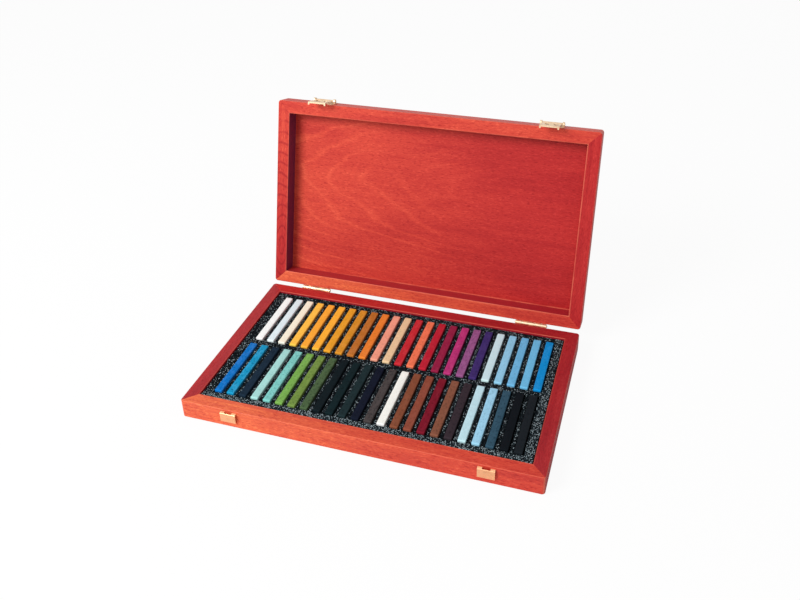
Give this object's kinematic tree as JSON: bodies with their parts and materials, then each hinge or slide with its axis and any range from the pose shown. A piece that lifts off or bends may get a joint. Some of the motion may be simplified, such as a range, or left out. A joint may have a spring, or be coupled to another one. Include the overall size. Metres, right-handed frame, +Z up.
{
  "type": "hinged pastel case",
  "caption": "Shallow stained wooden case with a hinged lid, brass catches and a slotted foam insert holding two rows of square pastel sticks.",
  "frame": {"origin": "middle of the underside of the base", "axes": "+X along the case, left to right as seen from the catches; +Y from the catches to the hinges; +Z up. The lid is modelled open."},
  "size_m": [0.3388, 0.2778, 0.2244],
  "materials": {
    "stained_wood": "red-brown stained beech under a satin lacquer",
    "brass": "thin polished sheet",
    "foam": "matt, speckled with grey flecks",
    "pastel_chalk_white": "matt pressed pigment",
    "pastel_cream_and_gold": "matt pressed pigment",
    "pastel_orange_yellow": "matt pressed pigment",
    "pastel_ochre": "matt pressed pigment",
    "pastel_sienna_and_orange": "matt pressed pigment",
    "pastel_salmon": "matt pressed pigment",
    "pastel_brick_and_coral": "matt pressed pigment",
    "pastel_crimson": "matt pressed pigment",
    "pastel_magenta_and_mauve": "matt pressed pigment",
    "pastel_violet_and_ice": "matt pressed pigment",
    "pastel_powder_blue": "matt pressed pigment",
    "pastel_cerulean": "matt pressed pigment",
    "pastel_cobalt": "matt pressed pigment",
    "pastel_navy_and_mint": "matt pressed pigment",
    "pastel_mint_and_green": "matt pressed pigment",
    "pastel_olive_green": "matt pressed pigment",
    "pastel_bottle_green": "matt pressed pigment",
    "pastel_blue_black": "matt pressed pigment",
    "pastel_umber_and_white": "matt pressed pigment",
    "pastel_red_brown": "matt pressed pigment",
    "pastel_burgundy_and_sienna": "matt pressed pigment",
    "pastel_plum_and_ice": "matt pressed pigment",
    "pastel_light_blue_and_slate": "matt pressed pigment",
    "pastel_black": "matt pressed pigment"
  },
  "bodies": {
    "case_base": {"base_front_rail": "stained_wood", "base_back_rail": "stained_wood", "base_left_rail": "stained_wood", "base_right_rail": "stained_wood", "base_panel": "stained_wood", "foam_insert": "foam", "keeper_left": "brass", "keeper_right": "brass", "hinge_base_leaf_left": "brass", "hinge_base_leaf_right": "brass", "hinge_pin_left": "brass", "hinge_pin_right": "brass", "hinge_nails_base": "brass"},
    "lid": {"lid_front_rail": "stained_wood", "lid_back_rail": "stained_wood", "lid_left_rail": "stained_wood", "lid_right_rail": "stained_wood", "lid_panel": "stained_wood", "hinge_lid_leaf_left": "brass", "hinge_lid_leaf_right": "brass", "hinge_nails_lid": "brass", "catch_plate_left": "brass", "catch_plate_right": "brass", "catch_pin_left": "brass", "catch_pin_right": "brass", "catch_nails": "brass"},
    "hasp_left": {"catch_hasp_left": "brass"},
    "hasp_right": {"catch_hasp_right": "brass"},
    "pastels_back_01_02": {"pastels_back_01_02": "pastel_chalk_white"},
    "pastels_back_03_04": {"pastels_back_03_04": "pastel_cream_and_gold"},
    "pastels_back_05_06": {"pastels_back_05_06": "pastel_orange_yellow"},
    "pastels_back_07_08": {"pastels_back_07_08": "pastel_ochre"},
    "pastels_back_09_10": {"pastels_back_09_10": "pastel_sienna_and_orange"},
    "pastels_back_11_12": {"pastels_back_11_12": "pastel_salmon"},
    "pastels_back_13_14": {"pastels_back_13_14": "pastel_brick_and_coral"},
    "pastels_back_15_16": {"pastels_back_15_16": "pastel_crimson"},
    "pastels_back_17_18": {"pastels_back_17_18": "pastel_magenta_and_mauve"},
    "pastels_back_19_20": {"pastels_back_19_20": "pastel_violet_and_ice"},
    "pastels_back_21_22": {"pastels_back_21_22": "pastel_powder_blue"},
    "pastels_back_23_24": {"pastels_back_23_24": "pastel_cerulean"},
    "pastels_front_01_02": {"pastels_front_01_02": "pastel_cobalt"},
    "pastels_front_03_04": {"pastels_front_03_04": "pastel_navy_and_mint"},
    "pastels_front_05_06": {"pastels_front_05_06": "pastel_mint_and_green"},
    "pastels_front_07_08": {"pastels_front_07_08": "pastel_olive_green"},
    "pastels_front_09_10": {"pastels_front_09_10": "pastel_bottle_green"},
    "pastels_front_11_12": {"pastels_front_11_12": "pastel_blue_black"},
    "pastels_front_13_14": {"pastels_front_13_14": "pastel_umber_and_white"},
    "pastels_front_15_16": {"pastels_front_15_16": "pastel_red_brown"},
    "pastels_front_17_18": {"pastels_front_17_18": "pastel_burgundy_and_sienna"},
    "pastels_front_19_20": {"pastels_front_19_20": "pastel_plum_and_ice"},
    "pastels_front_21_22": {"pastels_front_21_22": "pastel_light_blue_and_slate"},
    "pastels_front_23_24": {"pastels_front_23_24": "pastel_black"}
  },
  "joints": [
    {"name": "lid_hinge", "type": "hinge", "parent": "case_base", "child": "lid", "pos_m": [0, 0.1034, 0.0196], "axis": [-1, 0, 0], "range_deg": [-104.6, 0]},
    {"name": "hasp_left_pivot", "type": "hinge", "parent": "lid", "child": "hasp_left", "pos_m": [-0.11993, 0.1639, 0.21816], "axis": [-1, 0, 0], "range_deg": [0, 150]},
    {"name": "hasp_right_pivot", "type": "hinge", "parent": "lid", "child": "hasp_right", "pos_m": [0.11993, 0.1639, 0.21816], "axis": [-1, 0, 0], "range_deg": [0, 150]},
    {"name": "lift_pastels_back_01_02", "type": "slide", "parent": "case_base", "child": "pastels_back_01_02", "axis": [0, 0, 1], "range_m": [0, 0.015]},
    {"name": "lift_pastels_back_03_04", "type": "slide", "parent": "case_base", "child": "pastels_back_03_04", "axis": [0, 0, 1], "range_m": [0, 0.015]},
    {"name": "lift_pastels_back_05_06", "type": "slide", "parent": "case_base", "child": "pastels_back_05_06", "axis": [0, 0, 1], "range_m": [0, 0.015]},
    {"name": "lift_pastels_back_07_08", "type": "slide", "parent": "case_base", "child": "pastels_back_07_08", "axis": [0, 0, 1], "range_m": [0, 0.015]},
    {"name": "lift_pastels_back_09_10", "type": "slide", "parent": "case_base", "child": "pastels_back_09_10", "axis": [0, 0, 1], "range_m": [0, 0.015]},
    {"name": "lift_pastels_back_11_12", "type": "slide", "parent": "case_base", "child": "pastels_back_11_12", "axis": [0, 0, 1], "range_m": [0, 0.015]},
    {"name": "lift_pastels_back_13_14", "type": "slide", "parent": "case_base", "child": "pastels_back_13_14", "axis": [0, 0, 1], "range_m": [0, 0.015]},
    {"name": "lift_pastels_back_15_16", "type": "slide", "parent": "case_base", "child": "pastels_back_15_16", "axis": [0, 0, 1], "range_m": [0, 0.015]},
    {"name": "lift_pastels_back_17_18", "type": "slide", "parent": "case_base", "child": "pastels_back_17_18", "axis": [0, 0, 1], "range_m": [0, 0.015]},
    {"name": "lift_pastels_back_19_20", "type": "slide", "parent": "case_base", "child": "pastels_back_19_20", "axis": [0, 0, 1], "range_m": [0, 0.015]},
    {"name": "lift_pastels_back_21_22", "type": "slide", "parent": "case_base", "child": "pastels_back_21_22", "axis": [0, 0, 1], "range_m": [0, 0.015]},
    {"name": "lift_pastels_back_23_24", "type": "slide", "parent": "case_base", "child": "pastels_back_23_24", "axis": [0, 0, 1], "range_m": [0, 0.015]},
    {"name": "lift_pastels_front_01_02", "type": "slide", "parent": "case_base", "child": "pastels_front_01_02", "axis": [0, 0, 1], "range_m": [0, 0.015]},
    {"name": "lift_pastels_front_03_04", "type": "slide", "parent": "case_base", "child": "pastels_front_03_04", "axis": [0, 0, 1], "range_m": [0, 0.015]},
    {"name": "lift_pastels_front_05_06", "type": "slide", "parent": "case_base", "child": "pastels_front_05_06", "axis": [0, 0, 1], "range_m": [0, 0.015]},
    {"name": "lift_pastels_front_07_08", "type": "slide", "parent": "case_base", "child": "pastels_front_07_08", "axis": [0, 0, 1], "range_m": [0, 0.015]},
    {"name": "lift_pastels_front_09_10", "type": "slide", "parent": "case_base", "child": "pastels_front_09_10", "axis": [0, 0, 1], "range_m": [0, 0.015]},
    {"name": "lift_pastels_front_11_12", "type": "slide", "parent": "case_base", "child": "pastels_front_11_12", "axis": [0, 0, 1], "range_m": [0, 0.015]},
    {"name": "lift_pastels_front_13_14", "type": "slide", "parent": "case_base", "child": "pastels_front_13_14", "axis": [0, 0, 1], "range_m": [0, 0.015]},
    {"name": "lift_pastels_front_15_16", "type": "slide", "parent": "case_base", "child": "pastels_front_15_16", "axis": [0, 0, 1], "range_m": [0, 0.015]},
    {"name": "lift_pastels_front_17_18", "type": "slide", "parent": "case_base", "child": "pastels_front_17_18", "axis": [0, 0, 1], "range_m": [0, 0.015]},
    {"name": "lift_pastels_front_19_20", "type": "slide", "parent": "case_base", "child": "pastels_front_19_20", "axis": [0, 0, 1], "range_m": [0, 0.015]},
    {"name": "lift_pastels_front_21_22", "type": "slide", "parent": "case_base", "child": "pastels_front_21_22", "axis": [0, 0, 1], "range_m": [0, 0.015]},
    {"name": "lift_pastels_front_23_24", "type": "slide", "parent": "case_base", "child": "pastels_front_23_24", "axis": [0, 0, 1], "range_m": [0, 0.015]}
  ]
}
